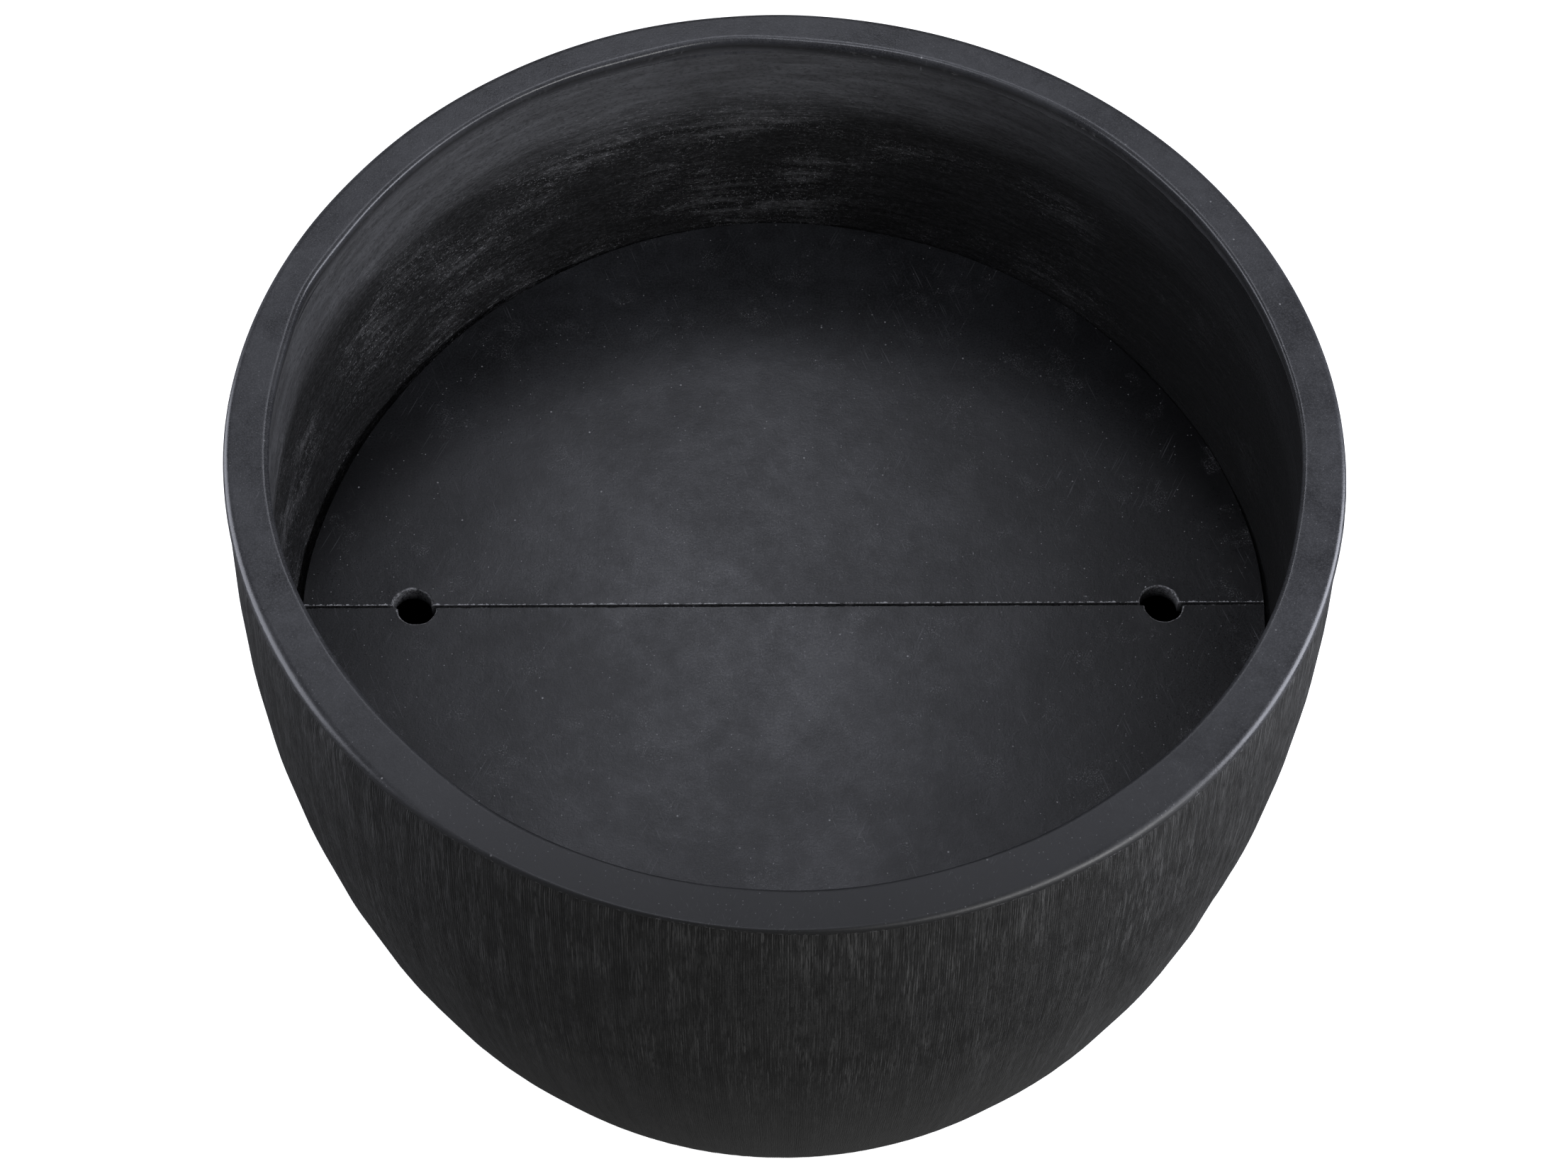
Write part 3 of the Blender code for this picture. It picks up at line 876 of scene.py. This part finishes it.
def rim_look():
    """Smooth satin composite with a fine tooth and a few pale nicks, duller at the front and darker there
    from painted shade.
    """
    look, place = new_look("smooth rim")
    clouds = noise(place, 0.06, 5, 0.6)
    cloth = noise(place, 0.008, 4, 0.6)
    tooth = noise(place, 0.0011, 2, 0.5)
    mixed = maths("MULTIPLY_ADD", cloth, 0.4, clouds)
    colour = blend(between(mixed, 0.5, 0.9), (0.017, 0.0175, 0.020), (0.041, 0.042, 0.046))
    across = add("SeparateXYZ", {0: place}).outputs[1]
    front = between(across, -RIM_RADIUS, -0.4 * RIM_RADIUS, 1.0, 0.0)
    nicks = specks(place, 0.0011, 0.006)
    dust = specks(place, 0.0006, 0.06)
    colour = blend(between(tooth, 0.45, 0.75, 0.0, 0.5), colour, (0.070, 0.071, 0.077))
    # Painted shade darkens the rim towards the front.
    colour = blend(front, colour, (0.005, 0.0053, 0.0063), 0.95)
    hatch = scratch_lines(place, 0.0007, 0.10)
    hatch = times(hatch, between(cloth, 0.40, 0.60))
    colour = blend(hatch, colour, (0.16, 0.16, 0.17), 0.30)
    colour = blend(nicks, colour, (0.34, 0.34, 0.35), 0.7)
    colour = blend(dust, colour, (0.20, 0.20, 0.21), 0.5)
    shaded = mesh_weights(look, "shaded")
    lapped = mesh_weights(look, "lapped")
    # Painted shade on the inside of the lip and under the outer round.
    colour = blend(shaded, colour, (0.003, 0.003, 0.0033), 0.9)
    colour = blend(lapped, colour, (0.040, 0.040, 0.043), 0.9)
    at_edge = mesh_weights(look, "ragged")
    flakes = noise(place, 0.0030, 3, 0.7)
    flaked = times(at_edge, between(flakes, 0.52, 0.66))
    colour = blend(flaked, colour, (0.13, 0.13, 0.135), 0.8)
    satin = maths("MULTIPLY_ADD", front, 0.20, between(mixed, 0.45, 0.95, 0.16, 0.30))
    rounded = mesh_weights(look, "rounded")
    satin = maths("MULTIPLY_ADD", tooth, between(rounded, 0, 1, 0.24, 0.10), satin)
    roughness = maths("MULTIPLY_ADD", maths("MAXIMUM", shaded, lapped), 0.45, satin)
    normal = bumped(cloth, 0.0004, 0.3)
    normal = bumped(tooth, 0.00010, 0.6, normal)
    return finish_look(look, colour, roughness, normal)


def board_look():
    """The shelf boards: satin, mottled, dusty, darker at the sides from painted shade, with pale broken
    edges at the seam that carry a painted highlight on the rear board.
    """
    look, place = new_look("shelf board")
    clouds = noise(place, 0.10, 5, 0.6, 0.4)
    mottle = noise(place, 0.016, 5, 0.7)
    grain = noise(place, 0.0013, 3, 0.65)
    parts = add("SeparateXYZ", {0: place})
    mixed = maths("MULTIPLY_ADD", mottle, 0.7, clouds)
    colour = blend(between(mixed, 0.72, 0.98), (0.0125, 0.013, 0.0142), (0.026, 0.027, 0.0295))
    colour = blend(between(grain, 0.46, 0.66, 0.0, 0.5), colour, (0.048, 0.049, 0.053))
    # Painted shade darkens the boards towards the sides.
    off_middle = maths("ABSOLUTE", maths("ADD", parts.outputs[0], 0.1 * RIM_RADIUS))
    painted_side_shade = between(off_middle, 0.25 * RIM_RADIUS, 0.95 * RIM_RADIUS, 0.0, 0.95)
    colour = blend(painted_side_shade, colour, (0.003, 0.003, 0.0034))
    scratches = scratch_lines(place, 0.0009, 0.03)
    colour = blend(scratches, colour, (0.16, 0.16, 0.17), 0.35)
    dots = maths("MAXIMUM", specks(place, 0.0011, 0.004), specks(place, 0.0006, 0.020))
    dashes = specks(stretched(place, 0.25, 1, 1), 0.0006, 0.05)
    powder = between(noise(place, 0.0010, 3, 0.8), 0.56, 0.62)
    clusters = between(noise(place, 0.035, 4, 0.7), 0.55, 0.66)
    dust = times(maths("MAXIMUM", powder, dashes), clusters)
    colour = blend(dots, colour, (0.42, 0.42, 0.43), 0.9)
    colour = blend(dust, colour, (0.26, 0.26, 0.27), 0.5)
    # Pale seam edge: wear plus a painted highlight on the rear board's edge.
    scuff_and_highlight = seam_scuff_and_highlight(place, parts.outputs[1], parts.outputs[2])
    colour = blend(scuff_and_highlight, colour, (0.42, 0.42, 0.43))
    worn = mesh_weights(look, "worn")
    rubbed = times(worn, between(grain, 0.42, 0.56, 0.25, 1.0))
    colour = blend(rubbed, colour, (0.38, 0.38, 0.385))
    roughness = maths("MULTIPLY_ADD", grain, 0.30, between(mixed, 0.70, 1.0, 0.20, 0.15))
    normal = bumped(mottle, 0.0005, 0.35)
    normal = bumped(grain, 0.00010, 0.5, normal)
    return finish_look(look, colour, roughness, normal, 0.34)


def scratch_lines(place, width, slimness):
    """Fine scratches that run in two directions. slimness is their width over their length."""
    found = None
    for degrees in (70, 115):
        inputs = {"Vector": place, "Angle": math.radians(degrees)}
        turned = add("VectorRotate", inputs, rotation_type="Z_AXIS").outputs[0]
        thin = noise(stretched(turned, slimness, 1, 1), width, 1, 0.4)
        where = noise(stretched(turned, 0.4, 1, 1), 0.05, 2, 0.5)
        line = times(between(thin, 0.68, 0.75), between(where, 0.50, 0.62))
        found = line if found is None else maths("MAXIMUM", found, line)
    return found


def seam_scuff_and_highlight(place, across, height):
    """Pale broken edge beside the seam: wear, with a painted highlight that puts most of it on the rear
    board. across is how far behind the seam.
    """
    distance = maths("MAXIMUM", across, times(across, -1.5))
    broken = noise(stretched(place, 1, 0.3, 1), 0.0035, 4, 0.75)
    reach = between(broken, 0.42, 0.74, 0.0009, 0.0030)
    on_top = between(height, -0.0008, -0.0003, 0.0, 0.9)
    return times(maths("LESS_THAN", distance, reach), on_top)


def cleat_look():
    """Rough unpainted composite of the blocks under the shelf."""
    look, place = new_look("rough cleat")
    clouds = noise(place, 0.02, 4, 0.6)
    grit = noise(place, 0.0016, 4, 0.7)
    colour = blend(between(clouds, 0.35, 0.65), (0.012, 0.012, 0.013), (0.030, 0.030, 0.031))
    colour = blend(between(grit, 0.62, 0.74, 0, 0.5), colour, grey(0.10))
    roughness = between(clouds, 0.3, 0.7, 0.70, 0.85)
    return finish_look(look, colour, roughness, bumped(grit, 0.0008, 0.8))


def rubber_look():
    """Moulded black rubber with a dull bloom."""
    look, place = new_look("black rubber")
    bloom = noise(place, 0.009, 4, 0.6)
    tooth = noise(place, 0.0005, 2, 0.5)
    colour = blend(between(bloom, 0.40, 0.70), grey(0.008), (0.022, 0.022, 0.023))
    roughness = between(bloom, 0.35, 0.70, 0.48, 0.68)
    return finish_look(look, colour, roughness, bumped(tooth, 0.00008, 0.5))


# ------------------------------ small parts


def finish_cleats(look):
    """The CAD cleats with a cast, slightly worn surface."""
    grain = bpy.data.textures.new("cleat grain", "CLOUDS")
    grain.noise_scale = 0.006
    for name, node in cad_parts.items():
        if not name.startswith("shelf_cleat"):
            continue
        node.data.materials.clear()
        node.data.materials.append(look)
        remesh = node.modifiers.new("even mesh", "REMESH")
        remesh.mode = "VOXEL"
        remesh.voxel_size = 0.0016
        remesh.use_smooth_shade = True
        worn = node.modifiers.new("worn surface", "DISPLACE")
        worn.texture = grain
        worn.texture_coords = "LOCAL"
        worn.strength = 0.0009
        worn.mid_level = 1.0


def make_plug(look):
    """The drain plug, turned finely: a tapered shank, a flange and a round knob on a neck."""
    top, bottom = PLUG_HIGH.z, PLUG_LOW.z
    flange_radius = PLUG_HIGH.x
    flange_bottom = BASE_THICKNESS + 0.0003
    flange_top = flange_bottom + 0.004
    knob, neck, shank = 0.008, 0.005, DRAIN_RADIUS - 0.0004
    edge = 0.0010
    outline = [(0.0004, top)]
    stop = -math.acos(neck / knob)
    for i in range(1, 15):
        angle = math.pi / 2 + (stop - math.pi / 2) * i / 14
        outline.append((knob * math.cos(angle), top - knob + knob * math.sin(angle)))
    outline += [(neck, flange_top + 0.0012), (neck + 0.0004, flange_top + 0.0003)]
    outline += [(neck + 0.0014, flange_top), (flange_radius * 0.72, flange_top)]
    outline += [(flange_radius - edge * 1.6, flange_top)]
    for i in range(6):
        angle = math.pi / 2 * (1 - i / 5)
        across, down = math.cos(angle) - 1, math.sin(angle) - 1
        outline.append((flange_radius + edge * across, flange_top + edge * down))
    outline += [(flange_radius, flange_bottom + 0.0004), (flange_radius - 0.0004, flange_bottom)]
    outline += [(shank + 0.0004, flange_bottom), (shank, flange_bottom - 0.0004)]
    outline += [(shank - 0.0010, bottom + 0.0008), (shank - 0.0018, bottom), (0.0004, bottom)]
    radius, height, _ = spread(outline, 96)
    plug = add_object("rubber_plug", turned_mesh("rubber_plug", radius, height, 35), look)
    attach(plug, "plug")
    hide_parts("drain_plug")


# ------------------------------ studio


def make_floor():
    """A plain near-white floor."""
    look = bpy.data.materials.new("studio floor")
    look.use_nodes = True
    shader = look.node_tree.nodes["Principled BSDF"]
    shader.inputs["Base Color"].default_value = (0.86, 0.86, 0.86, 1)
    shader.inputs["Roughness"].default_value = 0.9
    shader.inputs["Specular IOR Level"].default_value = 0.1
    shader.inputs["Emission Color"].default_value = (1, 1, 1, 1)
    shader.inputs["Emission Strength"].default_value = 0.75
    size = FLOOR_SIZE
    corners = [(x, y, FLOOR_LEVEL) for x, y in ((-size, -size), (size, -size), (size, size), (-size, size))]
    mesh = bpy.data.meshes.new("studio_floor")
    mesh.from_pydata(corners, [], [(0, 1, 2, 3)])
    floor = add_object("studio_floor", mesh, look)
    # The floor's glare doesn't reach the bowl, which gets the air's light instead.
    floor.visible_diffuse = False
    floor.visible_glossy = False


def softbox(name, place, width, height, power, tint=DAYLIGHT):
    """A rectangular light that shines from a place towards the bowl. Its power is in watts."""
    light = bpy.data.lights.new(name, "AREA")
    light.color = tint
    light.shape = "RECTANGLE"
    light.size = width
    light.size_y = height
    light.energy = power
    made = bpy.data.objects.new(name, light)
    bpy.context.scene.collection.objects.link(made)
    made.location = place
    towards_bowl = Vector((0, 0, HEIGHT * 0.8)) - Vector(place)
    made.rotation_euler = towards_bowl.to_track_quat("-Z", "Y").to_euler()


def make_lights():
    softbox("left softbox", (-1.2, 0.15, 0.70), 1.1, 0.8, 11)
    softbox("right softbox", (1.2, 0.0, 0.72), 0.95, 0.7, 16)
    softbox("front softbox", (1.0, -1.1, 0.75), 0.9, 0.5, 12, NEUTRAL)
    softbox("back softbox", (-0.06, 1.16, 2.2), 0.40, 0.6, 4.4)
    softbox("overhead softbox", (0, 0.1, 2.8), 1.2, 1.4, 4)
    softbox("top softbox", (-0.35, -0.50, 2.1), 0.5, 0.5, 5)
    world = bpy.data.worlds.new("studio air")
    world.use_nodes = True
    air = world.node_tree.nodes["Background"]
    air.inputs["Color"].default_value = (1, 1, 1, 1)
    air.inputs["Strength"].default_value = 0.16
    bpy.context.scene.world = world


def make_camera():
    """A long lens from the front, 57 degrees above the horizon, tipped half a degree."""
    level, climb = math.cos(CAMERA_ELEVATION), math.sin(CAMERA_ELEVATION)
    tip = math.sin(CAMERA_ROLL)
    toward = Vector((0, level, -climb))
    right = Vector((math.cos(CAMERA_ROLL), climb * tip, level * tip))
    up = right.cross(toward)
    camera = bpy.data.cameras.new("camera")
    camera.lens = CAMERA_LENS
    camera.sensor_width = 36
    made = bpy.data.objects.new("camera", camera)
    bpy.context.scene.collection.objects.link(made)
    turn = Matrix((right, up, -toward)).transposed()
    made.matrix_world = Matrix.Translation(CAMERA_AIM - toward * CAMERA_DISTANCE) @ turn.to_4x4()
    bpy.context.scene.camera = made


def main():
    make_camera()
    make_floor()
    make_lights()
    brushed, inner = brushed_look(), inner_wall_look()
    coat = make_face_coat(brushed)
    laminate = make_laminate(brushed, bowl_floor_look(), inner)
    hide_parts("bowl_shell")
    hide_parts("bowl_shell")
    make_rim(rim_look())
    board = board_look()
    rear = make_plate("rear_plate", "rear_shelf", 1, 0, board, SEED + 3)
    front = make_plate("front_plate", "front_shelf", -1, FRONT_FINGER_SHIFT, board, SEED + 4)
    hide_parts("rear_shelf_plate")
    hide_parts("front_shelf_plate")
    finish_cleats(cleat_look())
    make_plug(rubber_look())
    bpy.context.scene.view_settings.view_transform = "Standard"


main()

bpy.context.view_layer.update()
